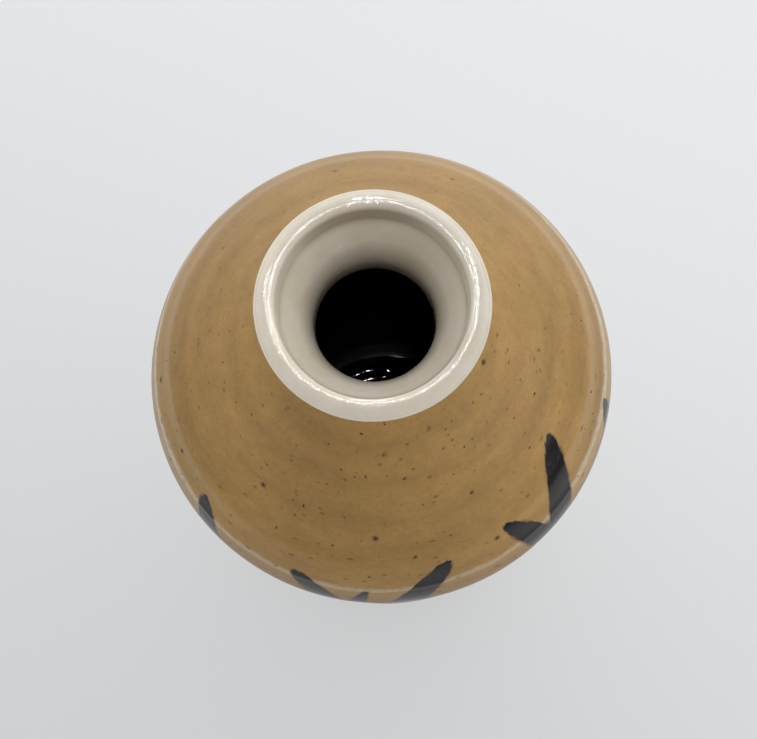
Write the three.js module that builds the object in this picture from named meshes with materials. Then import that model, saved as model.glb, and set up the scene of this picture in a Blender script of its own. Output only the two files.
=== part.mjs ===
// A wheel-thrown stoneware shochu bottle: tapered body, conical shoulder, short neck and flared mouth.
// Millimetres, +Z up, origin at the centre of the foot's standing face, bottle axis on Z.
// The clay sections are joined with slip the way a potter builds a closed form:
// foot ring, base slab, wall, shoulder, neck ring and mouth, with a fired glaze lining inside.

import * as THREE from 'three';

// Body
const bodyHeight = 143;             // standing face to the shoulder edge
const bellyRadius = 48;             // widest radius
const bellyDrop = 7;                // widest level, below the shoulder edge
const edgeInset = 1.8;              // shoulder edge, in from the belly
const wallTaper = 7.6;              // bottom of the wall, in from the belly
const wallThickness = 4.2;          // measured square to the surface
const footLean = 5;                 // degrees the wall leans out as it leaves the base
const bellyLean = 3;                // degrees it still leans out below the belly

// Foot and base
const footHeight = 4.8;             // depth of the turned recess under the base
const footInset = 5.2;              // foot ring, in from the bottom of the wall
const footRingWidth = 5.6;          // radial width of the standing ring
const footEdge = 0.8;               // softened edges of the ring
const baseThickness = 5.6;          // base slab at its rim
const baseBevel = 3.6;              // turned bevel that carries the wall in towards the foot
const floorStep = 1.4;              // floor raised inside the wall, which keys the two together

// Shoulder and neck
const waistRise = 36.6;             // shoulder edge to the narrowest level of the neck
const shoulderReach = 13;           // how far the shoulder keeps the edge's direction
const neckReach = 8.5;              // how far it runs straight below the waist
const lapDepth = 4;                 // half-lap between wall and shoulder
const neckSeat = 2.1;               // clay of the neck ring outside the mouth's tail
const neckSkirt = 3.6;              // neck ring below the mouth's tail

// Mouth
const throatRadius = 11;            // narrowest inside radius
const throatLength = 3.3;           // straight bottom of the throat
const tailWall = 2.2;               // wall of the mouth's tail, inside the neck ring
const tailLength = 5.1;             // tail, from the waist down
const flareHeight = 12.7;           // waist to the top of the lip
const flareWidth = 5.2;             // lip, out from the waist
const lipWidth = 3.8;               // radial width of the lip
const lipDrop = 2.3;                // widest level, below the top of the lip
const lipCurl = 1.2;                // rounding under the lip
const lipRound = 0.9;               // rounding of its inner edge
const galleryDepth = 5.2;           // steep band inside the lip
const galleryInset = 0.8;           // how far that band closes in

// Glaze and slip
const slipGap = 0.3;                // layer of slip between one section and the next
const liningThickness = 0.7;        // dark glaze lining
const liningCove = 3;               // glaze pooled where the floor meets the wall

// Fineness
const turns = 48;                   // facets round the axis

// Radii and levels that follow
const edgeRadius = bellyRadius - edgeInset;
const wallFootRadius = bellyRadius - wallTaper;
const tailRadius = throatRadius + tailWall;
const boreRadius = tailRadius + slipGap;
const waistRadius = boreRadius + neckSeat;
const mouthRadius = waistRadius + flareWidth;
const lipInnerRadius = mouthRadius - lipWidth;
const baseJoint = footHeight + baseThickness;
const floorLevel = baseJoint + floorStep;
const bellyLevel = bodyHeight - bellyDrop;
const waistLevel = bodyHeight + waistRise;
const tailEnd = waistLevel - tailLength;
const ledgeLevel = tailEnd - slipGap;
const neckJoint = ledgeLevel - neckSkirt;
const lipTop = waistLevel + flareHeight;

const point = (r, z) => new THREE.Vector2(r, z);

// A point reached from another by going a distance at an angle that leans out from upright
function leaning(from, degrees, distance) {
  const angle = THREE.MathUtils.degToRad(degrees);
  return point(from.x + distance * Math.sin(angle), from.y + distance * Math.cos(angle));
}

// Outside line of the body, from the base joint to the waist, as three joined curves
function bodyLine() {
  const foot = point(wallFootRadius, baseJoint);
  const belly = point(bellyRadius, bellyLevel);
  const edge = point(edgeRadius, bodyHeight);
  const waist = point(waistRadius, waistLevel);
  const third = (bellyLevel - baseJoint) / 3;
  const turnOver = point(bellyRadius, bodyHeight - 0.6 * bellyDrop);
  const onward = edge.clone().sub(turnOver).setLength(shoulderReach).add(edge);
  const wall = new THREE.CubicBezierCurve(
    foot, leaning(foot, footLean, third), leaning(belly, bellyLean, -third), belly);
  const turn = new THREE.QuadraticBezierCurve(belly, turnOver, edge);
  const cone = new THREE.CubicBezierCurve(edge, onward, point(waistRadius, waistLevel - neckReach), waist);
  return [...wall.getPoints(6), ...turn.getPoints(3).slice(1), ...cone.getPoints(11).slice(1)];
}

const outside = bodyLine();

// Radius and slope of the outside line at a level
function outsideAt(level) {
  const found = outside.findIndex((p, n) => n > 0 && p.y >= level);
  const upper = found < 0 ? outside.length - 1 : found;
  const [a, b] = [outside[upper - 1], outside[upper]];
  const slope = (b.x - a.x) / (b.y - a.y);
  return { radius: a.x + slope * (level - a.y), slope };
}

// Radius of the surface that lies a depth under the outside line, at a level
function under(level, depth) {
  const slope = (outsideAt(level + slipGap).slope + outsideAt(level - slipGap).slope) / 2;
  return outsideAt(level).radius - depth * Math.hypot(1, slope);
}

// Levels of the outside line between two levels, both included
function levelsBetween(low, high) {
  const between = outside.map((p) => p.y).filter((z) => z > low + slipGap && z < high - slipGap);
  return [low, ...between, high];
}

// The outside line between two levels, upwards
function outsideRun(low, high) {
  return levelsBetween(low, high).map((z) => point(outsideAt(z).radius, z));
}

// A line a depth under the outside between two levels, downwards
function insideRun(low, high, depth) {
  return levelsBetween(low, high).reverse().map((z) => point(under(z, depth), z));
}

// A solid turned round Z from its section, which goes up the outside and down the inside
function turned(name, section, material) {
  const closed = section[0].x === 0 ? section : [...section, section[0]];
  const geometry = new THREE.LatheGeometry(closed, turns).rotateX(Math.PI / 2);
  const mesh = new THREE.Mesh(geometry, material);
  mesh.name = name;
  return mesh;
}

const ochreGlaze = new THREE.MeshStandardMaterial({ color: 0xb08c58, roughness: 0.45, metalness: 0 });
const creamGlaze = new THREE.MeshStandardMaterial({ color: 0xdcd3c2, roughness: 0.2, metalness: 0 });
const darkGlaze = new THREE.MeshStandardMaterial({ color: 0x17100d, roughness: 0.15, metalness: 0 });
const bareClay = new THREE.MeshStandardMaterial({ color: 0xa98a66, roughness: 0.85, metalness: 0 });

// Turned ring that the bottle stands on
function footRing() {
  const outer = wallFootRadius - footInset;
  const inner = outer - footRingWidth;
  return turned('foot_ring', [
    point(outer - footEdge, 0),
    point(outer, footEdge),
    point(outer, footHeight),
    point(inner, footHeight),
    point(inner, footEdge),
    point(inner + footEdge, 0),
  ], bareClay);
}

// Base slab, bevelled under its rim, with the floor raised inside the wall
function baseSlab() {
  const keyRadius = under(baseJoint, wallThickness) - slipGap;
  return turned('base_slab', [
    point(0, footHeight),
    point(wallFootRadius - baseBevel, footHeight),
    point(wallFootRadius - baseBevel / 3, footHeight + baseThickness / 2),
    point(wallFootRadius, baseJoint),
    point(keyRadius, baseJoint),
    point(keyRadius - floorStep / 2, floorLevel),
    point(0, floorLevel),
  ], ochreGlaze);
}

// Wall from the base to the shoulder edge, rebated inside at the top for the shoulder's tongue
function bodyWall() {
  const lapLevel = bodyHeight - lapDepth;
  return turned('body_wall', [
    ...outsideRun(baseJoint, bodyHeight),
    point(under(bodyHeight, wallThickness / 2), bodyHeight),
    point(under(lapLevel, wallThickness / 2), lapLevel),
    ...insideRun(baseJoint, lapLevel, wallThickness),
  ], ochreGlaze);
}

// Conical shoulder; its tongue drops inside the wall
function shoulder() {
  const tongueEnd = bodyHeight - lapDepth + slipGap;
  const tongueDepth = wallThickness / 2 + slipGap;
  return turned('shoulder', [
    ...outsideRun(bodyHeight, neckJoint),
    ...insideRun(bodyHeight, neckJoint, wallThickness),
    point(under(tongueEnd, wallThickness), tongueEnd),
    point(under(tongueEnd, tongueDepth), tongueEnd),
    point(under(bodyHeight, tongueDepth), bodyHeight),
  ], ochreGlaze);
}

// Short neck that takes the mouth's tail in its bore
function neckRing() {
  return turned('neck_ring', [
    ...outsideRun(neckJoint, waistLevel),
    point(boreRadius, waistLevel),
    point(boreRadius, ledgeLevel),
    ...insideRun(neckJoint, ledgeLevel, wallThickness),
  ], ochreGlaze);
}

// Flared mouth: trumpet outside, rolled lip, steep band and funnel inside, tail below the waist
function mouthCollar() {
  const waist = point(waistRadius, waistLevel);
  const widest = point(mouthRadius, lipTop - lipDrop);
  const curl = point(widest.x - lipCurl, widest.y - 1.5 * lipCurl);
  const crest = point(lipInnerRadius + 0.3 * lipWidth, lipTop);
  const band = point(lipInnerRadius, lipTop - lipRound);
  const gallery = point(lipInnerRadius - galleryInset, lipTop - galleryDepth);
  const throat = point(throatRadius, tailEnd + throatLength);
  const drop = gallery.y - throat.y;
  const flare = new THREE.CubicBezierCurve(
    waist,
    point(waist.x, waist.y + flareHeight / 3),
    point(curl.x - 1.8 * lipCurl, curl.y - 2.2 * lipCurl),
    curl);
  const roll = new THREE.CubicBezierCurve(
    widest,
    point(widest.x, widest.y + 0.6 * lipDrop),
    point(crest.x + 0.25 * lipWidth, crest.y),
    crest);
  const innerEdge = new THREE.QuadraticBezierCurve(crest, point(band.x, crest.y), band);
  const funnel = new THREE.CubicBezierCurve(
    gallery,
    point(gallery.x - 0.4 * (gallery.x - throat.x), gallery.y - 0.25 * drop),
    point(throat.x, throat.y + 0.4 * drop),
    throat);
  return turned('mouth_collar', [
    ...flare.getPoints(5),
    ...roll.getPoints(4),
    ...innerEdge.getPoints(3).slice(1),
    ...funnel.getPoints(5),
    point(throatRadius, tailEnd),
    point(tailRadius, tailEnd),
    point(tailRadius, waistLevel),
  ], creamGlaze);
}

// Glaze lining on the floor and up the inside, to just below the mouth's tail
function glazeLining() {
  const top = ledgeLevel - slipGap;
  const outer = wallThickness + slipGap;
  const inner = outer + liningThickness;
  const bend = floorLevel + liningCove;
  const floorTop = floorLevel + liningThickness;
  return turned('glaze_lining', [
    point(0, floorLevel),
    point(under(bend, outer) - liningCove, floorLevel),
    ...insideRun(bend, top, outer).reverse(),
    ...insideRun(bend + liningThickness, top, inner),
    point(under(bend, inner) - liningCove, floorTop),
    point(0, floorTop),
  ], darkGlaze);
}

const bottle = new THREE.Group();
bottle.add(footRing(), baseSlab(), bodyWall(), shoulder(), neckRing(), mouthCollar(), glazeLining());

export default bottle;
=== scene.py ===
from bisect import bisect_left
from math import atan2, cos, exp, hypot, pi, radians, sin

import bmesh
import bpy
from mathutils import Matrix, Vector, noise
from mathutils.geometry import interpolate_bezier


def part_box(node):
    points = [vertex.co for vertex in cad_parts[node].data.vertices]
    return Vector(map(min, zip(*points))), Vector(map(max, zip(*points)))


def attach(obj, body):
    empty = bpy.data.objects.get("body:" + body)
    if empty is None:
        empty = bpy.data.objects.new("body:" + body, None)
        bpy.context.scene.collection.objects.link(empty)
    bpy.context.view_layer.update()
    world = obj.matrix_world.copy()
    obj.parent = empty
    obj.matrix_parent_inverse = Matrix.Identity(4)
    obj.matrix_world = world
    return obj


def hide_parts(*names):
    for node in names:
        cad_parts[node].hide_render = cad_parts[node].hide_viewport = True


# A wheel-thrown stoneware shochu bottle. Metres, Z up, the bottle's axis on Z, its near side towards -Y.

mm = 0.001
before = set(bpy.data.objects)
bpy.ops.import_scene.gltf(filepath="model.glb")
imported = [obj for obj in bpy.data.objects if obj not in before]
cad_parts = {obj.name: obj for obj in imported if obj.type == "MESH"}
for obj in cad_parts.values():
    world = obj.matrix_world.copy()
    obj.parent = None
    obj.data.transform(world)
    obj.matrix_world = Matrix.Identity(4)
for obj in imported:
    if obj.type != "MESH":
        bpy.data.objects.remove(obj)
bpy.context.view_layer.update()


def bottomOf(node):
    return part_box(node)[0].z


def topOf(node):
    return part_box(node)[1].z


def reachOf(node):
    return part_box(node)[1].x


# a colour written as it looks, 0 to 255
def tone(r, g, b):
    linear = [c / 3294.6 if c <= 10.31 else ((c / 255 + 0.055) / 1.055) ** 2.4 for c in (r, g, b)]
    return (*linear, 1)


# Camera, looking down on the mouth

camera = {
    "tilt": radians(12.5),          # lean of the view from straight down
    "roll": radians(6.67),
    "aboveEdge": 290.55 * mm,       # over the shoulder's edge
    "inFront": 65.74 * mm,
    "aside": -0.31 * mm,
    "focalPixels": 1450,
    "photoWidth": 757,
    "sensor": 36,
}


def makeCamera():
    lens = bpy.data.cameras.new("viewCamera")
    lens.sensor_width = camera["sensor"]
    lens.lens = camera["focalPixels"] / camera["photoWidth"] * lens.sensor_width
    lens.clip_start = 0.01
    eye = bpy.data.objects.new("viewCamera", lens)
    tilt, roll = camera["tilt"], camera["roll"]
    level = Vector((0, cos(tilt), sin(tilt)))
    right = Vector((cos(roll), 0, 0)) - level * sin(roll)
    up = Vector((sin(roll), 0, 0)) + level * cos(roll)
    turn = Matrix((right, up, right.cross(up))).transposed().to_4x4()
    place = Vector((0, -camera["inFront"], topOf("body_wall") + camera["aboveEdge"]))
    eye.matrix_world = Matrix.Translation(place + right * camera["aside"]) @ turn
    bpy.context.scene.collection.objects.link(eye)
    bpy.context.scene.camera = eye


makeCamera()
print("camera placed")

# Outside line of the clay, from the base joint up to the waist under the mouth

body = {
    "bellyDrop": 7 * mm,            # widest level, below the shoulder's edge
    "footLean": radians(5),
    "bellyLean": radians(3),
    "shoulderReach": 13 * mm,       # how far the shoulder keeps the edge's direction
    "neckReach": 8.5 * mm,          # how far it runs straight below the waist
    "flareWidth": 5.2 * mm,         # lip, out from the waist
    "thickness": 4.2 * mm,
    "lap": 4 * mm,                  # half-lap between wall and shoulder
    "slip": 0.3 * mm,               # joint between one clay section and the next
    "step": 0.75 * mm,              # from one point of the outside to the next
    "edgeStep": 0.3 * mm,           # the same beside the shoulder's edge
    "edgeSpan": 3 * mm,
    "hiddenStep": 3 * mm,           # on the inside of the wall
    "turns": 288,                   # facets round the axis
    "sharp": radians(40),           # corners sharper than this stay hard
}

throwing = {
    "pitch": 8.6 * mm,              # from one throwing ring to the next
    "firstRing": 6.3 * mm,          # on the shoulder, above its edge
    "shoulderRise": 0.045 * mm,
    "wallRise": 0.11 * mm,
    "changeOver": 1.5 * mm,         # from the wall's rings to the shoulder's
    "unevenOver": 30 * mm,          # height over which the rings grow weaker or stronger
    "ridgeRise": 0.1 * mm,          # arris along the shoulder's edge
    "ridgeWidth": 0.7 * mm,
    "grooveDepth": 0.03 * mm,       # beside that arris
    "grooveWidth": 1.3 * mm,
    "grooveRise": 1.8 * mm,
    "wander": 0.09 * mm,            # slow unevenness of a hand-thrown wall
    "wanderOver": 22 * mm,
    "fade": 7 * mm,                 # rings die away towards the base and the neck
    "bulge": 0.23 * mm,             # belly a little off centre
    "bulgeTowards": radians(-32),   # round from +X
    "bulgeLevel": -6 * mm,          # along the outside, from the shoulder's edge
    "bulgeWidth": 5 * mm,
}


def point(r, z):
    return Vector((r, 0, z))


def leaning(start, angle, distance):
    return start + Vector((sin(angle), 0, cos(angle))) * distance


def lengthsOf(points):
    lengths = [0]
    for a, b in zip(points, points[1:]):
        lengths.append(lengths[-1] + (b - a).length)
    return lengths


def pointAt(points, lengths, distance):
    high = min(max(bisect_left(lengths, distance), 1), len(points) - 1)
    share = (distance - lengths[high - 1]) / (lengths[high] - lengths[high - 1])
    return points[high - 1].lerp(points[high], share)


def evenly(points, step):
    lengths = lengthsOf(points)
    count = max(1, round(lengths[-1] / step))
    return [pointAt(points, lengths, lengths[-1] * i / count) for i in range(count + 1)]


def curve(start, startHandle, endHandle, end, step):
    return evenly(interpolate_bezier(start, startHandle, endHandle, end, 160), step)


def bodyLine():
    edgeLevel = topOf("body_wall")
    foot = point(reachOf("base_slab"), bottomOf("body_wall"))
    belly = point(reachOf("body_wall"), edgeLevel - body["bellyDrop"])
    edge = point(reachOf("shoulder"), edgeLevel)
    waist = point(reachOf("mouth_collar") - body["flareWidth"], topOf("neck_ring"))
    third = (belly.z - foot.z) / 3
    turnOver = point(belly.x, edgeLevel - 0.6 * body["bellyDrop"])
    onward = edge + (edge - turnOver).normalized() * body["shoulderReach"]
    wall = (foot, leaning(foot, body["footLean"], third), leaning(belly, body["bellyLean"], -third), belly)
    turn = (belly, belly.lerp(turnOver, 2 / 3), edge.lerp(turnOver, 2 / 3), edge)
    cone = (edge, onward, waist - Vector((0, 0, body["neckReach"])), waist)
    line = [foot]
    for part in (wall, turn, cone):
        line += interpolate_bezier(*part, 200)[1:]
    return line


outline = bodyLine()
outlineLengths = lengthsOf(outline)
outlineLevels = [p.z for p in outline]


# radius, slope and length along the outline at a level
def outlineAt(z):
    high = min(max(bisect_left(outlineLevels, z), 1), len(outline) - 1)
    a, b = outline[high - 1], outline[high]
    slope = (b.x - a.x) / (b.z - a.z)
    length = outlineLengths[high - 1] + (z - a.z) * hypot(1, slope)
    return a.x + slope * (z - a.z), slope, length


edgeLength = outlineAt(topOf("body_wall"))[2]
waistLength = outlineLengths[-1]
bellyRadius = reachOf("body_wall")


def under(z, depth):
    radius, slope, _ = outlineAt(z)
    return point(radius - depth * hypot(1, slope), z)


# lengths along the outline between two levels, closer together beside the shoulder's edge
def outsideLengths(low, high):
    length, end = outlineAt(low)[2], outlineAt(high)[2]
    lengths = [length]
    while True:
        near = abs(length - edgeLength) < body["edgeSpan"]
        length += body["edgeStep"] if near else body["step"]
        if length > end - body["edgeStep"] / 2:
            return lengths + [end]
        lengths.append(length)


def outsideRun(lengths):
    return [pointAt(outline, outlineLengths, length) for length in lengths]


def insideRun(high, low, depth, step):
    count = max(2, round((high - low) / step))
    return [under(high + (low - high) * i / count, depth) for i in range(count + 1)]


# Brushed grass: leaves and stems as strokes on the unrolled wall, in millimetres and degrees.
# A stroke is its root (round the belly from the near side, then up the outside), heading, length, width and bend.

brush = {
    "ink": tone(17, 15, 13),
    "fringe": tone(92, 62, 34),
    "inkRoughness": 0.18,
    "ragged": 0.35,
    "widest": 0.28,                 # where along a stroke it is widest
    "dryFrom": 0.45,                # where its hairs begin to part
    "dry": 0.4,                     # how far they part at its end
    "past": 8,                      # a stroke's edge is worked out this far beyond it
    "strokes": [
        (16, 28, 79, 100, 2.0, -5), (33, 113, 68, 38, 6.6, 3), (33, 112, 36, 36, 6.0, -4),
        (32, 111, 104, 31, 5.8, -3), (25, 70, 28, 36, 6.0, -4), (32, 90, 152, 25, 4.6, 4),
        (-5, 22, 93, 97, 2.0, 4), (-8, 106, 61, 38, 6.0, 3), (-8, 105, 118, 34, 5.8, -3),
        (-9, 84, 152, 26, 4.6, 4), (-6, 62, 141, 36, 5.8, 5), (-10, 57, 34, 27, 4.6, -3),
        (-30, 38, 103, 76, 1.8, 3), (-43, 102, 99, 36, 6.0, -3), (-43, 101, 62, 29, 5.0, 3),
        (-42, 99, 141, 29, 5.4, 4), (118, 34, 85, 66, 1.8, 3), (123, 90, 62, 31, 5.4, 3),
        (123, 89, 121, 27, 5.0, -3), (122, 86, 158, 25, 4.8, 3), (-36, 66, 146, 27, 5.0, 4),
        (-8, 105, 90, 28, 3.2, 3),
    ],
}


# width of a stroke along its length, as a share of its full width
def strokeWidth(share):
    widest = brush["widest"]
    if share < widest:
        return (share / widest) ** 0.55
    return (1 - ((share - widest) / (1 - widest)) ** 5) ** 0.5


# distance inside the nearest stroke, below 0 outside them all, with the lie and parting of its hairs
def brushed(around, up):
    margin, hair, parting = -brush["past"] - 1, Vector((0, 0, 0)), 0
    dryFrom = brush["dryFrom"]
    for number, (rootAround, rootUp, heading, length, width, bend) in enumerate(brush["strokes"]):
        offset = Vector((around - rootAround, up - rootUp))
        if offset.length > length + brush["past"]:
            continue
        forward = Vector((cos(radians(heading)), sin(radians(heading))))
        ahead, aside = offset.dot(forward), forward.cross(offset)
        share = min(1, max(0, ahead / length))
        aside -= 4 * bend * share * (1 - share)
        past = max(0, -ahead, ahead - length)
        inside = strokeWidth(share) * width / 2 - abs(aside) - past
        if inside > margin:
            margin, hair = inside, Vector((0.07 * ahead, aside, 9 * number))
            parting = brush["dry"] * max(0, (share - dryFrom) / (1 - dryFrom)) * min(1, width / 6) ** 2
    return margin, hair, parting


# how far the rings stand out from the plain outline, and the shoulder's arris with the belly's bulge
def relief(theta, length):
    up = length - edgeLength
    turned = 2 * pi * (up - throwing["firstRing"]) / throwing["pitch"]
    onShoulder = 1 / (1 + exp(-up / throwing["changeOver"]))
    uneven = 0.6 + 0.8 * noise.noise(Vector((cos(theta), sin(theta), length / throwing["unevenOver"])))
    rings = onShoulder * throwing["shoulderRise"] * cos(turned)
    rings += (1 - onShoulder) * throwing["wallRise"] * cos(turned + theta)
    slow = noise.noise(Vector((1.6 * cos(theta), 1.6 * sin(theta), length / throwing["wanderOver"] + 7)))
    ends = min(1, length / throwing["fade"], (waistLength - length) / throwing["fade"])
    ridge = throwing["ridgeRise"] * exp(-(up / throwing["ridgeWidth"]) ** 2)
    groove = throwing["grooveDepth"] * exp(-((up - throwing["grooveRise"]) / throwing["grooveWidth"]) ** 2)
    bulge = throwing["bulge"] * (1 + cos(theta - throwing["bulgeTowards"]))
    bulge *= exp(-((up - throwing["bulgeLevel"]) / throwing["bulgeWidth"]) ** 2)
    return (rings * uneven + throwing["wander"] * slow) * max(0, ends), ridge - groove + bulge


# moves the outside out by the relief, and keeps the rings and the brushwork for the glaze
def throwRings(bm, along, skin):
    layers = bm.verts.layers
    thrown, ink, parting = (layers.float.new(name) for name in ("thrown", "ink", "parting"))
    hair = layers.float_vector.new("hair")
    for vert in bm.verts:
        if vert[skin] < 0.5:
            continue
        around = atan2(vert.co.x, -vert.co.y) * bellyRadius / mm
        vert[ink], vert[hair], vert[parting] = brushed(around, vert[along])
        theta = atan2(vert.co.y, vert.co.x)
        rings, arris = relief(theta, vert[along] * mm)
        vert[thrown] = rings / mm
        slope = outlineAt(vert.co.z)[1]
        vert.co += Vector((cos(theta), sin(theta), -slope)).normalized() * (rings + arris)


# spins a closed section round Z; its first points, one for each length, are the glazed outside
def turnedPiece(name, section, lengths=(), shape=None, turns=body["turns"]):
    bm = bmesh.new()
    along = bm.verts.layers.float.new("along")
    skin = bm.verts.layers.float.new("skin")
    verts = [bm.verts.new(p) for p in section]
    for vert, length in zip(verts, lengths):
        vert[along], vert[skin] = length / mm, 1
    edges = [bm.edges.new(pair) for pair in zip(verts, verts[1:])]
    if section[0].x > 0:
        edges.append(bm.edges.new((verts[-1], verts[0])))
    bmesh.ops.spin(
        bm, geom=verts + edges, axis=(0, 0, 1), cent=(0, 0, 0), angle=2 * pi, steps=turns, use_merge=True)
    bmesh.ops.remove_doubles(bm, verts=bm.verts, dist=1e-7)
    bmesh.ops.recalc_face_normals(bm, faces=bm.faces)
    if shape:
        shape(bm, along, skin)
    mesh = bpy.data.meshes.new(name)
    bm.to_mesh(mesh)
    bm.free()
    mesh.shade_smooth()
    mesh.set_sharp_from_angle(angle=body["sharp"])
    piece = bpy.data.objects.new(name, mesh)
    bpy.context.scene.collection.objects.link(piece)
    return piece


def dress(piece, node, material):
    piece.data.materials.append(material)
    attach(piece, "root")
    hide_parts(node)


# Short ways to add nodes; patterns are in millimetres

def add(tree, kind, values=None, **settings):
    made = tree.nodes.new("ShaderNode" + kind)
    for name, value in settings.items():
        setattr(made, name, value)
    for socket, value in (values or {}).items():
        if isinstance(value, bpy.types.NodeSocket):
            tree.links.new(value, made.inputs[socket])
        else:
            made.inputs[socket].default_value = value
    return made


def maths(tree, operation, *values):
    return add(tree, "Math", dict(enumerate(values)), operation=operation).outputs[0]


def vectorMaths(tree, operation, *values, **named):
    return add(tree, "VectorMath", {**dict(enumerate(values)), **named}, operation=operation).outputs[0]


def ramp(tree, value, low, high, start=0.0, end=1.0):
    values = {"Value": value, "From Min": low, "From Max": high, "To Min": start, "To Max": end}
    return add(tree, "MapRange", values, interpolation_type="SMOOTHSTEP").outputs[0]


# 1 from b to c, and 0 below a and above d
def between(tree, value, a, b, c, d):
    return maths(tree, "MULTIPLY", ramp(tree, value, a, b), ramp(tree, value, d, c))


def blend(tree, share, low, high, mode="MIX"):
    return add(tree, "Mix", {0: share, 6: low, 7: high}, data_type="RGBA", blend_type=mode).outputs[2]


def blendValue(tree, share, low, high):
    return add(tree, "Mix", {0: share, 2: low, 3: high}).outputs[0]


def grain(tree, place, scale, detail=2.0, rough=0.5):
    values = {"Vector": place, "Scale": scale, "Detail": detail, "Roughness": rough}
    return add(tree, "TexNoise", values).outputs[0]


def attribute(tree, name, output="Fac"):
    return add(tree, "Attribute", attribute_name=name).outputs[output]


def millimetres(tree):
    return vectorMaths(tree, "SCALE", add(tree, "TexCoord").outputs["Object"], Scale=1 / mm)


def parts(tree, vector):
    return add(tree, "SeparateXYZ", {0: vector}).outputs


# the outside unrolled on itself: the angle laid out at the belly, the length along the outside on Z
def roundSpace(tree, stretch):
    x, y, _ = parts(tree, millimetres(tree))
    flat = vectorMaths(tree, "NORMALIZE", add(tree, "CombineXYZ", {0: x, 1: y}).outputs[0])
    flat = vectorMaths(tree, "SCALE", flat, Scale=bellyRadius / mm / stretch)
    up = add(tree, "CombineXYZ", {2: attribute(tree, "along")}).outputs[0]
    return vectorMaths(tree, "ADD", flat, up)


def sumOf(tree, *terms):
    total = 0.0
    for weight, value in terms:
        total = add(tree, "Math", {0: value, 1: weight, 2: total}, operation="MULTIPLY_ADD").outputs[0]
    return total


def radiusOf(tree, x, y):
    return maths(tree, "SQRT", sumOf(tree, (x, x), (y, y)))


# round dark marks of mixed size; 1 in the middle of a mark and 0 away from it
def specks(tree, place, cell, largest, share):
    cells = add(tree, "TexVoronoi", {"Vector": place, "Scale": 1 / cell})
    picked = add(tree, "SeparateColor", {0: cells.outputs["Color"]}).outputs[0]
    radius = maths(tree, "MULTIPLY", ramp(tree, picked, maths(tree, "SUBTRACT", 1.0, share), 1), largest)
    distance = maths(tree, "MULTIPLY", cells.outputs["Distance"], cell)
    inner = maths(tree, "MULTIPLY", radius, 0.7)
    outer = maths(tree, "MULTIPLY", radius, 1.15)
    return ramp(tree, distance, inner, outer, 1.0, 0.0)


def newMaterial(name):
    material = bpy.data.materials.new(name)
    material.use_nodes = True
    return material, material.node_tree, material.node_tree.nodes["Principled BSDF"]


def finishMaterial(tree, shader, colour, roughness, height):
    tree.links.new(colour, shader.inputs["Base Color"])
    tree.links.new(roughness, shader.inputs["Roughness"])
    bump = add(tree, "Bump", {"Height": height, "Distance": mm})
    tree.links.new(bump.outputs[0], shader.inputs["Normal"])


# Ochre and cream glazes, which meet at a wavy line on the neck

ochre = {
    "pale": tone(181, 147, 94),
    "deep": tone(155, 119, 66),
    "warm": tone(175, 137, 84),
    "olive": tone(165, 131, 76),
    "patchShare": 0.28,             # how far pale and deep patches show on warm and olive ones
    "golden": (1.0, 0.95, 0.69, 1), # the near side tinted yellower, with less blue
    "edge": tone(213, 197, 170),
    "sheenAndThinGlaze": tone(190, 175, 152),     # thinner glaze and painted sheen beside the edge
    "speck": tone(72, 36, 0),
    "rust": tone(112, 70, 20),
    "freckle": tone(112, 80, 42),
    "fleck": tone(200, 170, 122),
    "roughness": (0.33, 0.44),
    "specular": 0.45,
    "shade": (1.8, 0.36, 0.28, 0.18, 0.2, 0.51),    # from rings, fine, grit, lines and bands, and all over
    "rise": (0.016, 0.02, 0.012, 0.008, -0.02),     # of fine, lines, patches, grit and specks
    "near": (-44, -12),             # the near side ends between these
    "edgeWidth": (1.05, 1.4),       # on the near side and away from it
    "edgeShare": (0.85, 1.3),
    "farEdge": 0.35,                # how much of the pale edge, glaze breaking and painted highlight, is left on the far side
    "strip": (-15, -3, -0.6, 2.4),  # painted sheen and thin glaze under the edge, up from it
    "stripShare": (0.12, 0.36),
    "crest": (3.4, 6.2, 6.6, 7.8),  # and a painted highlight on the first ring above it
    "crestShare": (0.04, 0.27),
    "wallShade": 0.78,              # painted shade: the sideways-facing wall darker than the shoulder
    "neckShade": 0.78,              # painted shadow of the mouth on the near side of the neck
    "farShade": 0.955,              # and painted shade, a little, on the far side
    "speckShare": (0.75, 0.4),      # how many of the places for a speck have one, near and far
    "footLine": 6.0,                # where the glaze ends over the foot
    "footWave": 3.0,
    "footReach": (28.4, 28.8),      # the recess inside this radius is glazed
    "clay": tone(176, 144, 110),
    "toasted": tone(146, 98, 60),
    "clayRoughness": 0.85,
}

cream = {
    "body": tone(226, 218, 203),
    "warm": tone(221, 211, 192),
    "speck": tone(120, 92, 60),
    # painted shade on the steep band inside the lip
    "bandShade": tone(170, 155, 132),
    "lipLight": (1.0, 1.23),           # painted light: the lip brighter from the far right to the near left
    "funnel": (1.0, 1.08),          # and painted light on the funnel inside it, brighter from near to far
    "funnelReach": (17, 18),        # the lip begins between these radii
    "roughness": 0.05,
    "overlap": 0.12,                # how far it stands on the ochre glaze
    "tail": (14.2, 14.6),           # all of the mouth inside this radius is cream
    "bandShare": (0.2, 0.8),        # how far the painted shade on the steep band shows, near and far
    "bandLevels": (topOf("mouth_collar") / mm - 5.6, topOf("mouth_collar") / mm - 1.6),
    "stainAndShade": 0.86,
    "stainAndShadeDepth": 8.8,              # the dark glaze's brown bleeds this far up from the tail's end, with painted shade deep in the throat
    "lineLevel": topOf("neck_ring") / mm - 0.2,
    "lineWander": 3.0,
}

dark = {
    "body": tone(15, 9, 7),
    "brown": tone(30, 14, 8),
    "roughness": 0.07,              # pooled on the floor
    "wallRoughness": 0.7,
    "pool": 31.5,                   # radius of the glossy pool
    "specular": 0.35,
}


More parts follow.
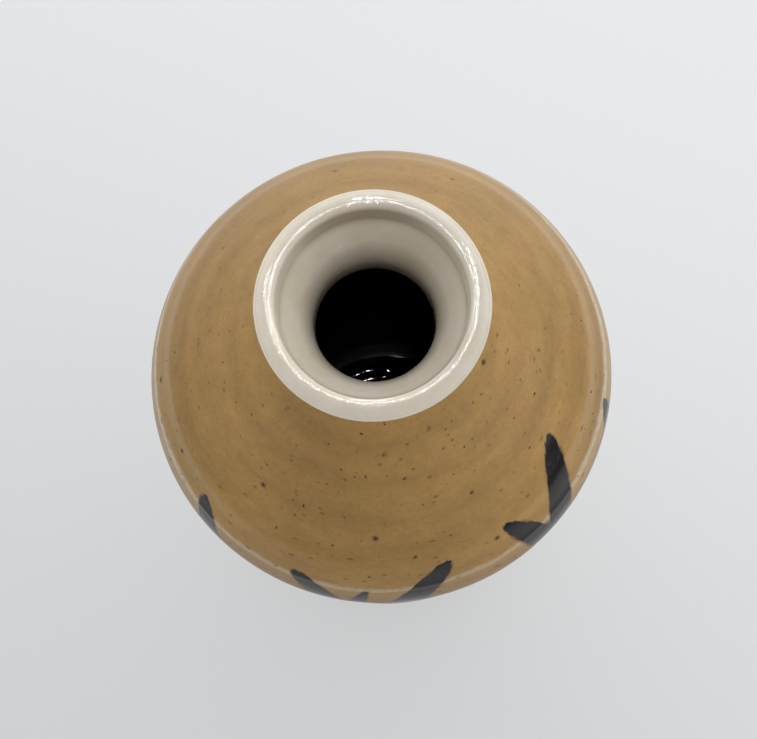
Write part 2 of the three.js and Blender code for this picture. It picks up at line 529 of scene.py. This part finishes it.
def ochreCoat(tree):
    place = millimetres(tree)
    along, thrown = attribute(tree, "along"), attribute(tree, "thrown")
    broad = grain(tree, place, 0.06, 2)
    patches = grain(tree, roundSpace(tree, 2), 0.4, 4, 0.65)
    fine = grain(tree, roundSpace(tree, 1.7), 1.4, 3, 0.65)
    grit = grain(tree, roundSpace(tree, 1.4), 3.2, 2, 0.7)
    lines = grain(tree, roundSpace(tree, 9), 0.85, 2)
    bands = grain(tree, roundSpace(tree, 12), 0.36, 2)
    colour = blend(tree, ramp(tree, broad, 0.38, 0.62), ochre["olive"], ochre["warm"])
    patched = blend(tree, ramp(tree, patches, 0.34, 0.66), ochre["deep"], ochre["pale"])
    colour = blend(tree, ochre["patchShare"], colour, patched)
    # the rings darker in their grooves and lighter on their crests, from pooled glaze and painted ring shading;
    # the grains and bands are random tone
    shade = sumOf(tree, *zip(ochre["shade"], (thrown, fine, grit, lines, bands, 1.0)))
    colour = vectorMaths(tree, "SCALE", colour, Scale=shade)
    freckles = ramp(tree, grain(tree, roundSpace(tree, 2.4), 1.5, 3, 0.7), 0.62, 0.72, 0.0, 0.35)
    colour = blend(tree, freckles, colour, ochre["freckle"])
    flecks = ramp(tree, grain(tree, roundSpace(tree, 3), 1.7, 2, 0.6), 0.64, 0.76, 0.0, 0.4)
    colour = blend(tree, flecks, colour, ochre["fleck"])
    away = parts(tree, place)[1]
    nearSide = ramp(tree, away, -8, 34, 1.0, 0.5)
    colour = blend(tree, nearSide, colour, ochre["golden"], "MULTIPLY")
    wavy = grain(tree, roundSpace(tree, 3), 0.5, 3)
    fromEdge = sumOf(tree, (1.6, wavy), (-0.8, 1.0), (1.0, along), (-edgeLength / mm, 1.0))
    aside = ramp(tree, away, *ochre["near"])
    # painted sheen and thin glaze: a pale greyish strip under the edge, and a painted highlight on the first
    # ring's crest, both stronger away from the near side
    strip = between(tree, fromEdge, *ochre["strip"])
    strip = maths(tree, "MULTIPLY", strip, blendValue(tree, aside, *ochre["stripShare"]))
    crest = between(tree, fromEdge, *ochre["crest"])
    crest = maths(tree, "MULTIPLY", crest, blendValue(tree, aside, *ochre["crestShare"]))
    colour = blend(tree, maths(tree, "ADD", strip, crest), colour, ochre["sheenAndThinGlaze"])
    # pale glaze breaking over the shoulder's arris, with a painted highlight along it; narrower on the near side,
    # faint on the far side
    width = blendValue(tree, aside, *ochre["edgeWidth"])
    edge = ramp(tree, maths(tree, "ABSOLUTE", fromEdge), 0.15, width, 1.0, 0.0)
    edge = maths(tree, "MULTIPLY", edge, ramp(tree, fine, 0.3, 0.65, 0.35, 0.75))
    edge = maths(tree, "MULTIPLY", edge, blendValue(tree, aside, *ochre["edgeShare"]))
    edge = maths(tree, "MULTIPLY", edge, ramp(tree, away, 22, 40, 1.0, ochre["farEdge"]))
    colour = blend(tree, edge, colour, ochre["edge"])
    # painted shade: the wall, the near side under the mouth and a little of the far side are darkened
    wall = ramp(tree, fromEdge, -7, -0.5, ochre["wallShade"], 1.0)
    neck = blendValue(tree, aside, ramp(tree, fromEdge, 25, 38, 1.0, ochre["neckShade"]), 1.0)
    neck = maths(tree, "MULTIPLY", neck, ramp(tree, away, 8, 30, 1.0, ochre["farShade"]))
    colour = vectorMaths(tree, "SCALE", colour, Scale=maths(tree, "MULTIPLY", wall, neck))
    uneven = add(tree, "TexNoise", {"Vector": place, "Scale": 1.6, "Detail": 2}).outputs["Color"]
    ragged = vectorMaths(tree, "MULTIPLY_ADD", uneven, (0.9, 0.9, 0.9), place)
    some = ramp(tree, away, -30, 6, *ochre["speckShare"])
    big = specks(tree, ragged, 4.0, 0.46, some)
    small = specks(tree, ragged, 2.1, 0.32, some)
    halo = specks(tree, ragged, 4.0, 0.8, some)
    dashes = specks(tree, roundSpace(tree, 2.6), 1.5, 0.34, some)
    rust = maths(tree, "MULTIPLY", maths(tree, "MAXIMUM", halo, dashes), nearSide)
    marks = maths(tree, "MULTIPLY", maths(tree, "MAXIMUM", big, small), nearSide)
    colour = blend(tree, maths(tree, "MULTIPLY", rust, 0.6), colour, ochre["rust"])
    colour = blend(tree, maths(tree, "MULTIPLY", marks, 0.95), colour, ochre["speck"])
    roughness = ramp(tree, patches, 0.3, 0.7, *ochre["roughness"])
    height = sumOf(tree, *zip(ochre["rise"], (fine, lines, patches, grit, marks)))
    return colour, roughness, height


def creamCoat(tree):
    place = millimetres(tree)
    colour = blend(tree, ramp(tree, grain(tree, place, 0.16, 3), 0.35, 0.65), cream["body"], cream["warm"])
    x, y, _ = parts(tree, place)
    radius = radiusOf(tree, x, y)
    # painted light: the lip and the funnel made brighter on some sides
    lip = ramp(tree, sumOf(tree, (-0.8, x), (-0.6, y)), -18, 18, *cream["lipLight"])
    funnel = ramp(tree, y, -12, 0, *cream["funnel"])
    paintedLight = blendValue(tree, ramp(tree, radius, *cream["funnelReach"]), funnel, lip)
    colour = vectorMaths(tree, "SCALE", colour, Scale=paintedLight)
    dots = specks(tree, place, 3.4, 0.2, 0.3)
    colour = blend(tree, maths(tree, "MULTIPLY", dots, 0.5), colour, cream["speck"])
    ripples = grain(tree, place, 1.1, 2)
    swells = grain(tree, place, 0.35, 1)
    pores = grain(tree, place, 2.6, 1)
    height = sumOf(tree, (0.05, ripples), (0.05, swells), (-0.02, dots), (0.03, pores))
    return colour, height


# 1 where the cream glaze lies, 0 below its line
def creamShare(tree):
    place = millimetres(tree)
    wander = maths(tree, "SUBTRACT", grain(tree, place, 0.09, 3), 0.5)
    z = parts(tree, place)[2]
    above = sumOf(tree, (cream["lineWander"], wander), (1.0, z), (-1.0, cream["lineLevel"]))
    return ramp(tree, above, -0.25, 0.25)


def ochreGlaze():
    material, tree, shader = newMaterial("ochreGlaze")
    colour, roughness, height = ochreCoat(tree)
    hairs = ramp(tree, grain(tree, attribute(tree, "hair", "Vector"), 1.6), 0.42, 0.62)
    parted = maths(tree, "MULTIPLY", hairs, attribute(tree, "parting"))
    wobble = grain(tree, roundSpace(tree, 1), 0.9, 3, 0.6)
    margin = sumOf(tree, (1.0, attribute(tree, "ink")), (-1.0, parted), (2 * brush["ragged"], wobble),
                   (-brush["ragged"], 1.0))
    ink = ramp(tree, margin, 0.0, 0.16)
    colour = blend(tree, ramp(tree, margin, -0.5, 0.05, 0.0, 0.75), colour, brush["fringe"])
    colour = blend(tree, ink, colour, brush["ink"])
    roughness = blendValue(tree, ink, roughness, brush["inkRoughness"])
    height = sumOf(tree, (0.012, ramp(tree, margin, -0.1, 0.35)), (1.0, height))
    x, y, z = parts(tree, millimetres(tree))
    radius = radiusOf(tree, x, y)
    wave = maths(tree, "SUBTRACT", grain(tree, millimetres(tree), 0.1, 3), 0.5)
    lift = sumOf(tree, (ochre["footWave"], wave), (1.0, z), (-1.0, ochre["footLine"]))
    outside = ramp(tree, radius, *ochre["footReach"])
    bare = maths(tree, "MULTIPLY", ramp(tree, lift, 0.15, -0.15), outside)
    toast = maths(tree, "MULTIPLY", ramp(tree, lift, 1.2, 0.0), outside)
    colour = blend(tree, toast, colour, ochre["toasted"])
    colour = blend(tree, bare, colour, ochre["clay"])
    roughness = blendValue(tree, bare, roughness, ochre["clayRoughness"])
    share = creamShare(tree)
    creamColour, creamHeight = creamCoat(tree)
    colour = blend(tree, share, colour, creamColour)
    roughness = blendValue(tree, share, roughness, cream["roughness"])
    raised = maths(tree, "ADD", creamHeight, cream["overlap"])
    height = blendValue(tree, share, height, raised)
    shader.inputs["Specular IOR Level"].default_value = ochre["specular"]
    finishMaterial(tree, shader, colour, roughness, height)
    return material


def creamGlaze():
    material, tree, shader = newMaterial("creamGlaze")
    colour, height = creamCoat(tree)
    ochreColour, ochreRoughness, ochreHeight = ochreCoat(tree)
    share = creamShare(tree)
    x, y, z = parts(tree, millimetres(tree))
    radius = radiusOf(tree, x, y)
    outside = ramp(tree, radius, *cream["tail"])
    share = maths(tree, "MAXIMUM", share, maths(tree, "SUBTRACT", 1.0, outside))
    colour = blend(tree, share, ochreColour, colour)
    raised = maths(tree, "ADD", height, cream["overlap"])
    height = blendValue(tree, share, ochreHeight, raised)
    roughness = blendValue(tree, share, ochreRoughness, cream["roughness"])
    wave = maths(tree, "SUBTRACT", grain(tree, millimetres(tree), 0.2, 2), 0.5)
    # painted shade: the steep band inside the lip darker, most on the far side
    low, high = cream["bandLevels"]
    band = between(tree, z, low - 1, low + 1, high - 0.4, high + 0.6)
    band = maths(tree, "MULTIPLY", band, ramp(tree, radius, 17.3, 17.0))
    band = maths(tree, "MULTIPLY", band, ramp(tree, y, 10, 17.5, *cream["bandShare"]))
    colour = blend(tree, band, colour, cream["bandShade"])
    # brown stain from the dark glaze, and painted shade deep in the throat, darkest at the tail's end
    depth = sumOf(tree, (1.0, z), (1.6, wave), (-bottomOf("mouth_collar") / mm, 1.0))
    rise = {"Value": depth, "From Min": cream["stainAndShadeDepth"], "From Max": 0.2}
    up = add(tree, "MapRange", rise).outputs[0]
    stainAndShade = maths(tree, "MULTIPLY", up, ramp(tree, radius, 15.4, 14.6, 0.0, cream["stainAndShade"]))
    colour = blend(tree, stainAndShade, colour, dark["brown"])
    finishMaterial(tree, shader, colour, roughness, height)
    return material


def darkGlaze():
    material, tree, shader = newMaterial("darkGlaze")
    place = millimetres(tree)
    colour = blend(tree, ramp(tree, grain(tree, place, 0.1, 3), 0.4, 0.7), dark["body"], dark["brown"])
    x, y, _ = parts(tree, place)
    radius = radiusOf(tree, x, y)
    pool = dark["pool"]
    roughness = ramp(tree, radius, pool - 1, pool + 1.5, dark["roughness"], dark["wallRoughness"])
    height = sumOf(tree, (0.05, grain(tree, place, 0.25, 2)), (0.01, grain(tree, place, 1.5, 2)))
    shader.inputs["Specular IOR Level"].default_value = dark["specular"]
    finishMaterial(tree, shader, colour, roughness, height)
    return material


clay = {
    "body": tone(184, 152, 118),
    "dark": tone(160, 126, 94),
    "grog": tone(96, 66, 44),
    "pale": tone(196, 170, 138),
    "roughness": 0.82,
}


def bareClay():
    material, tree, shader = newMaterial("bareClay")
    place = millimetres(tree)
    x, y, z = parts(tree, place)
    radius = radiusOf(tree, x, y)
    rings = grain(tree, add(tree, "CombineXYZ", {0: radius, 1: z}).outputs[0], 1.6, 3, 0.6)
    body = grain(tree, place, 0.35, 4, 0.6)
    colour = blend(tree, ramp(tree, body, 0.35, 0.65), clay["dark"], clay["body"])
    colour = vectorMaths(tree, "SCALE", colour, Scale=ramp(tree, rings, 0.2, 0.8, 0.88, 1.1))
    grog = specks(tree, place, 1.3, 0.28, 0.5)
    white = specks(tree, place, 1.9, 0.3, 0.4)
    colour = blend(tree, maths(tree, "MULTIPLY", grog, 0.8), colour, clay["grog"])
    colour = blend(tree, maths(tree, "MULTIPLY", white, 0.6), colour, clay["pale"])
    roughness = ramp(tree, body, 0.3, 0.7, clay["roughness"] - 0.06, clay["roughness"] + 0.06)
    grit = grain(tree, place, 2.5, 3, 0.7)
    height = sumOf(tree, (0.06, rings), (0.04, grit), (-0.03, grog), (0.03, white))
    finishMaterial(tree, shader, colour, roughness, height)
    return material


ochreMaterial = ochreGlaze()
creamMaterial = creamGlaze()
darkMaterial = darkGlaze()
clayMaterial = bareClay()
print("glazes mixed")

# Foot ring, turned and left bare

foot = {
    "width": 5.6 * mm,
    "edge": 0.8 * mm,
    "step": 0.2 * mm,
}


def makeFootRing():
    outer, height, edge, step = reachOf("foot_ring"), topOf("foot_ring"), foot["edge"], foot["step"]
    inner = outer - foot["width"]
    outerCorner, innerCorner = point(outer, 0), point(inner, 0)
    section = curve(point(outer - edge, 0), outerCorner, outerCorner, point(outer, edge), step)
    section += evenly([point(outer, edge), point(outer, height)], 3 * step)[1:]
    section += evenly([point(inner, height), point(inner, edge)], 3 * step)
    section += curve(point(inner, edge), innerCorner, innerCorner, point(inner + edge, 0), step)[1:]
    return turnedPiece("footRing", section)


# Base, with a turned bevel outside and turning rings in the recess below

base = {
    "bevel": 3.6 * mm,
    "key": 0.7 * mm,                # floor raised inside the wall
    "ringRise": 0.14 * mm,
    "ringPitch": 3.4 * mm,
    "recess": 29 * mm,
    "fade": 4 * mm,                 # rings die away at the middle and beside the foot ring
}


def turnRecess(bm, along, skin):
    low = bottomOf("base_slab")
    for vert in bm.verts:
        radius = hypot(vert.co.x, vert.co.y)
        if vert.co.z < low + 0.01 * mm and radius < base["recess"]:
            swirl = 2 * pi * radius / base["ringPitch"] + atan2(vert.co.y, vert.co.x)
            fade = min(1, (base["recess"] - radius) / base["fade"]) * min(1, radius / base["fade"])
            vert.co.z += fade * base["ringRise"] * (1 + cos(swirl))


def makeBaseSlab():
    low, high = bottomOf("base_slab"), bottomOf("body_wall")
    outer, floor, bevel = reachOf("base_slab"), topOf("base_slab"), base["bevel"]
    key = under(high, body["thickness"]).x - body["slip"]
    outside = evenly([point(0, low), point(outer - bevel, low)], 0.8 * mm)
    outside += curve(point(outer - bevel, low), point(outer - 0.45 * bevel, low + 0.55 * bevel),
                     point(outer - 0.12 * bevel, high - 0.5 * bevel), point(outer, high), 0.45 * mm)[1:]
    lengths = lengthsOf(outside)
    lengths = [length - lengths[-1] for length in lengths]
    section = outside + [point(key, high)]
    section += evenly([point(key - base["key"], floor), point(0, floor)], 6 * mm)
    return turnedPiece("baseSlab", section, lengths, turnRecess)


def makeBodyWall():
    low, high = bottomOf("body_wall"), topOf("body_wall")
    lengths = outsideLengths(low, high)
    half = body["thickness"] / 2
    section = outsideRun(lengths) + [under(high, half), under(high - body["lap"], half)]
    section += insideRun(high - body["lap"], low, body["thickness"], body["hiddenStep"])
    return turnedPiece("bodyWall", section, lengths, throwRings)


def makeShoulder():
    tongue, low, high = bottomOf("shoulder"), topOf("body_wall"), topOf("shoulder")
    lengths = outsideLengths(low, high)
    half = body["thickness"] / 2 + body["slip"]
    section = outsideRun(lengths) + insideRun(high, tongue, body["thickness"], body["hiddenStep"] / 2)
    section += [under(tongue, half), under(low, half)]
    return turnedPiece("shoulderCone", section, lengths, throwRings)


# Mouth: trumpet outside, rolled lip, steep band and funnel inside, and a tail down into the neck

mouth = {
    "throat": 11 * mm,              # narrowest inside radius
    "tailWall": 2.2 * mm,
    "tailLength": 5.1 * mm,
    "lipWidth": 3.8 * mm,
    "lipDrop": 2.3 * mm,            # widest level, below the top of the lip
    "lipCurl": 1.2 * mm,            # rounding under the lip
    "lipRound": 0.9 * mm,           # rounding of its inner edge
    "galleryDepth": 5.2 * mm,       # steep band inside the lip
    "galleryInset": 0.5 * mm,
    "galleryRound": 1.0 * mm,
    "throatTop": 2.4 * mm,          # top of the narrowest part, above the tail's end
    "taper": 0.15 * mm,             # and how much wider it is there
    "wobble": 0.1 * mm,             # a thrown lip isn't quite round or level
    "nearOpening": 0.3 * mm,        # inner edge of the lip, further out on the near side
    "nearPinch": 0.4 * mm,          # foot of the steep band, further in there
    "pinchDepth": 3 * mm,           # that pinch dies away this far below it
    "edgeRound": 0.3 * mm,          # pull of the rounding's handles at the inner edge
    "step": 0.28 * mm,
}


def makeNeckRing():
    low, high = bottomOf("neck_ring"), topOf("neck_ring")
    bore = mouth["throat"] + mouth["tailWall"] + body["slip"]
    ledge = high - mouth["tailLength"] - body["slip"]
    lengths = outsideLengths(low, high)
    section = outsideRun(lengths) + [point(bore, high), point(bore, ledge)]
    section += insideRun(ledge, low, body["thickness"], body["hiddenStep"] / 2)
    return turnedPiece("neckRing", section, lengths, throwRings)


# how far the inside of the lip stands out at a level, on the near side
def nearShift(z, top):
    band, gallery = top - mouth["lipRound"], top - mouth["galleryDepth"]
    if z > band:
        return mouth["nearOpening"] * (top - z) / mouth["lipRound"]
    if z > gallery:
        rise = (z - gallery) / (band - gallery)
        return mouth["nearOpening"] * rise - mouth["nearPinch"] * (1 - rise)
    return -mouth["nearPinch"] * max(0, 1 - (gallery - z) / mouth["pinchDepth"])


def unevenMouth(bm, along, skin):
    waist, top = topOf("neck_ring"), topOf("mouth_collar")
    crest = reachOf("mouth_collar") - 0.7 * mouth["lipWidth"]
    for vert in bm.verts:
        if vert[skin] < 0.5 and hypot(vert.co.x, vert.co.y) < crest and vert.co.z > waist:
            outward = Vector((vert.co.x, vert.co.y, 0)).normalized()
            vert.co += outward * nearShift(vert.co.z, top) * max(0, -outward.y) ** 3
        share = min(1, max(0, (vert.co.z - waist - 2 * mm) / (top - waist - 5 * mm)))
        theta = atan2(vert.co.y, vert.co.x)
        around = Vector((1.3 * cos(theta), 1.3 * sin(theta), 0))
        lift = Vector((2 * cos(theta), 2 * sin(theta), 9))
        vert.co += Vector((cos(theta), sin(theta), 0)) * mouth["wobble"] * share * noise.noise(around)
        vert.co.z += 0.6 * mouth["wobble"] * share * noise.noise(lift)


def makeMouth():
    top, waistLevel, tailEnd = topOf("mouth_collar"), topOf("neck_ring"), bottomOf("mouth_collar")
    rim, step, curl = reachOf("mouth_collar"), mouth["step"], mouth["lipCurl"]
    tail = mouth["throat"] + mouth["tailWall"]
    inner = rim - mouth["lipWidth"]
    waist = point(rim - body["flareWidth"], waistLevel)
    widest = point(rim, top - mouth["lipDrop"])
    curled = point(rim - curl, widest.z - 1.5 * curl)
    crest = point(inner + 0.3 * mouth["lipWidth"], top)
    band = point(inner, top - mouth["lipRound"])
    gallery = point(inner - mouth["galleryInset"], top - mouth["galleryDepth"])
    throat = point(mouth["throat"] + mouth["taper"], tailEnd + mouth["throatTop"])
    drop, close = gallery.z - throat.z, gallery.x - throat.x
    funnelHandle = point(gallery.x - 0.42 * close, gallery.z - 0.28 * drop)
    aboveGallery = gallery + (band - gallery).normalized() * mouth["galleryRound"]
    belowGallery = gallery + (funnelHandle - gallery).normalized() * mouth["galleryRound"]
    outside = curve(waist, waist + Vector((0, 0, (top - waistLevel) / 3)),
                    point(curled.x - 1.8 * curl, curled.z - 2.2 * curl), curled, step)
    lengths = [waistLength + length for length in lengthsOf(outside)]
    section = outside + curve(curled, point(curled.x + 0.6 * curl, curled.z + 0.7 * curl),
                              point(rim, widest.z - 0.5 * curl), widest, step)[1:]
    section += curve(widest, point(rim, widest.z + 0.6 * mouth["lipDrop"]),
                     point(crest.x + 0.25 * mouth["lipWidth"], top), crest, step)[1:]
    handle = mouth["edgeRound"]
    section += curve(crest, point(inner + handle, top), point(inner, top - handle), band, step)[1:]
    section += evenly([band, aboveGallery], step)[1:]
    section += curve(aboveGallery, gallery, gallery, belowGallery, step)[1:]
    throatHandle = point(throat.x, throat.z + 0.38 * drop)
    section += curve(belowGallery, funnelHandle, throatHandle, throat, step)[1:]
    section += evenly([throat, point(mouth["throat"], tailEnd)], step)[1:]
    section += [point(tail, tailEnd), point(tail, waistLevel)]
    return turnedPiece("mouthCollar", section, lengths, unevenMouth)


# Dark glaze on the inside, pooled in the throwing rings of the floor

lining = {
    "thickness": 0.7 * mm,
    "cove": 3 * mm,
    "step": 1.2 * mm,
    "floorStep": 0.7 * mm,
    "coveStep": 0.3 * mm,
    "floorRise": 0.5 * mm,
    "floorPitch": 6.5 * mm,
    "floorWander": 0.9 * mm,
    "lump": 8 * mm,                 # size of the floor's unevenness
    "turns": 192,
}


def pooledFloor(bm, along, skin):
    floor = bottomOf("glaze_lining") + lining["thickness"]
    for vert in bm.verts:
        radius = hypot(vert.co.x, vert.co.y)
        if floor - 0.05 * mm < vert.co.z < floor + lining["cove"] and vert[skin] > 0.5:
            theta = atan2(vert.co.y, vert.co.x)
            swirl = 2 * pi * radius / lining["floorPitch"] - theta
            rise = lining["floorRise"] * (1 + cos(swirl)) / 2
            rise += lining["floorWander"] * (0.5 + noise.noise(vert.co / lining["lump"]))
            high = (vert.co.z - floor) / lining["cove"]
            vert.co.z += rise * min(1, radius / (3 * mm)) * max(0, 1 - high)


def makeLining():
    low, high = bottomOf("glaze_lining"), topOf("glaze_lining")
    outer = body["thickness"] + body["slip"]
    inner = outer + lining["thickness"]
    cove, floorTop = lining["cove"], low + lining["thickness"]
    bend = low + cove
    outerCorner, innerCorner = under(bend, outer), under(bend + lining["thickness"], inner)
    coveEnd = point(innerCorner.x - cove, floorTop)
    seen = evenly([point(0, floorTop), coveEnd], lining["floorStep"])
    floorHandle = point(innerCorner.x - 0.45 * cove, floorTop)
    wallHandle = innerCorner - Vector((0, 0, 0.55 * cove))
    seen += curve(coveEnd, floorHandle, wallHandle, innerCorner, lining["coveStep"])[1:]
    section = seen + insideRun(high, bend + lining["thickness"], inner, lining["step"])[::-1][1:]
    section += insideRun(high, bend, outer, body["hiddenStep"])
    section += evenly([outerCorner - Vector((cove, 0, cove)), point(0, low)], 6 * mm)
    return turnedPiece("glazeLining", section, [0] * len(seen), pooledFloor, lining["turns"])


dress(makeFootRing(), "foot_ring", clayMaterial)
dress(makeBaseSlab(), "base_slab", ochreMaterial)
dress(makeBodyWall(), "body_wall", ochreMaterial)
dress(makeShoulder(), "shoulder", ochreMaterial)
dress(makeNeckRing(), "neck_ring", ochreMaterial)
dress(makeMouth(), "mouth_collar", creamMaterial)
dress(makeLining(), "glaze_lining", darkMaterial)
print("bottle turned")

# Pale floor and plain soft light

studio = {
    "floorSize": 6.0,
    "floorColour": tone(214, 215, 216),
    "backColour": tone(240, 242, 244),
    "backShare": 0.55,              # how much of the floor's look is its own plain colour
    "floorFall": (0.82, 1.22),      # painted light: that colour's share, dimmer towards the near left and brighter to the far right
    "fallReach": 0.22,
    "table": (0.57, -0.8, 0.95),    # reach of the pale floor in reflections: aside, near and far
    "roomColour": tone(60, 60, 60),
    "sky": 1.48,                    # at the horizon
    "skySlope": (0.29, 0.59, -1.12),    # brighter to the right and the back, dimmer straight above
    "backdrop": (0.62, 0.84),       # painted light: seen behind the floor, dimmer towards the near left, brighter to the far right
    "floorRoughness": 0.9,
    "aim": (0, 0, 0.17),            # all lamps point at the mouth
    "glints": [                     # name, place, size and watts of the lamps, which show only as glints
        ("backWindow", (0.1, 1.35, 1.55), (0.2, 0.3), 10),
        ("ceilingBack", (0.05, 0.42, 1.7), (0.16, 0.12), 3),
        ("ceilingLeft", (-0.6, 0.5, 1.65), (0.1, 1.5), 10),
        ("ceilingRight", (0.68, 0.5, 1.65), (0.1, 1.5), 14),
        ("ceilingFront", (0.03, -0.27, 1.6), (0.06, 0.06), 2),
    ],
}


def makeFloor():
    mesh = bpy.data.meshes.new("floor")
    bm = bmesh.new()
    bmesh.ops.create_grid(bm, x_segments=1, y_segments=1, size=studio["floorSize"] / 2)
    bm.to_mesh(mesh)
    bm.free()
    floor = bpy.data.objects.new("floor", mesh)
    bpy.context.scene.collection.objects.link(floor)
    material, tree, shader = newMaterial("floor")
    shader.inputs["Base Color"].default_value = studio["floorColour"]
    shader.inputs["Roughness"].default_value = studio["floorRoughness"]
    rays = add(tree, "LightPath").outputs
    seen = maths(tree, "MAXIMUM", rays["Is Camera Ray"], rays["Is Glossy Ray"])
    seen = maths(tree, "MAXIMUM", seen, rays["Is Transmission Ray"])
    across, along, _ = parts(tree, add(tree, "TexCoord").outputs["Object"])
    reach = studio["fallReach"]
    # painted light: the floor's plain colour fades from the far right to the near left
    fall = ramp(tree, sumOf(tree, (0.5, across), (0.86, along)), -reach, reach, *studio["floorFall"])
    plain = add(tree, "Emission", {"Color": studio["backColour"], "Strength": fall})
    share = maths(tree, "MULTIPLY", seen, studio["backShare"])
    shown = add(tree, "MixShader", {0: share, 1: shader.outputs[0], 2: plain.outputs[0]})
    # painted reflection: past the table's reach, glossy rays see the dark room colour instead of the floor
    aside, near, far = studio["table"]
    past = ramp(tree, maths(tree, "ABSOLUTE", across), aside, aside + 0.04)
    past = maths(tree, "MAXIMUM", past, ramp(tree, along, near, near - 0.03))
    past = maths(tree, "MAXIMUM", past, ramp(tree, along, far, far + 0.06))
    room = add(tree, "Emission", {"Color": studio["roomColour"]})
    past = maths(tree, "MULTIPLY", past, rays["Is Glossy Ray"])
    mixed = add(tree, "MixShader", {0: past, 1: shown.outputs[0], 2: room.outputs[0]})
    tree.links.new(mixed.outputs[0], tree.nodes["Material Output"].inputs["Surface"])
    floor.data.materials.append(material)


def makeSky():
    world = bpy.data.worlds.new("studio")
    world.use_nodes = True
    tree = world.node_tree
    right, back, upward = parts(tree, add(tree, "TexCoord").outputs["Generated"])
    slope = studio["skySlope"]
    strength = sumOf(tree, (slope[0], right), (slope[1], back), (slope[2], upward), (studio["sky"], 1.0))
    seen = add(tree, "LightPath").outputs["Is Camera Ray"]
    # painted light: the backdrop graded dimmer towards the near left
    backdrop = ramp(tree, sumOf(tree, (0.5, right), (0.86, back)), -1, 1, *studio["backdrop"])
    strength = blendValue(tree, seen, strength, backdrop)
    tree.links.new(strength, tree.nodes["Background"].inputs["Strength"])
    tree.nodes["Background"].inputs["Color"].default_value = (1, 1, 1, 1)
    bpy.context.scene.world = world


def makeLamp(name, place, size, power):
    light = bpy.data.lights.new(name, "AREA")
    light.shape = "RECTANGLE"
    light.size, light.size_y = size
    light.energy = power
    lamp = bpy.data.objects.new(name, light)
    lamp.visible_diffuse = False
    away = (Vector(place) - Vector(studio["aim"])).to_track_quat("Z", "Y")
    lamp.matrix_world = Matrix.Translation(place) @ away.to_matrix().to_4x4()
    bpy.context.scene.collection.objects.link(lamp)


makeFloor()
makeSky()
for lamp in studio["glints"]:
    makeLamp(*lamp)
print("studio lit")

bpy.context.scene.view_settings.view_transform = "Standard"
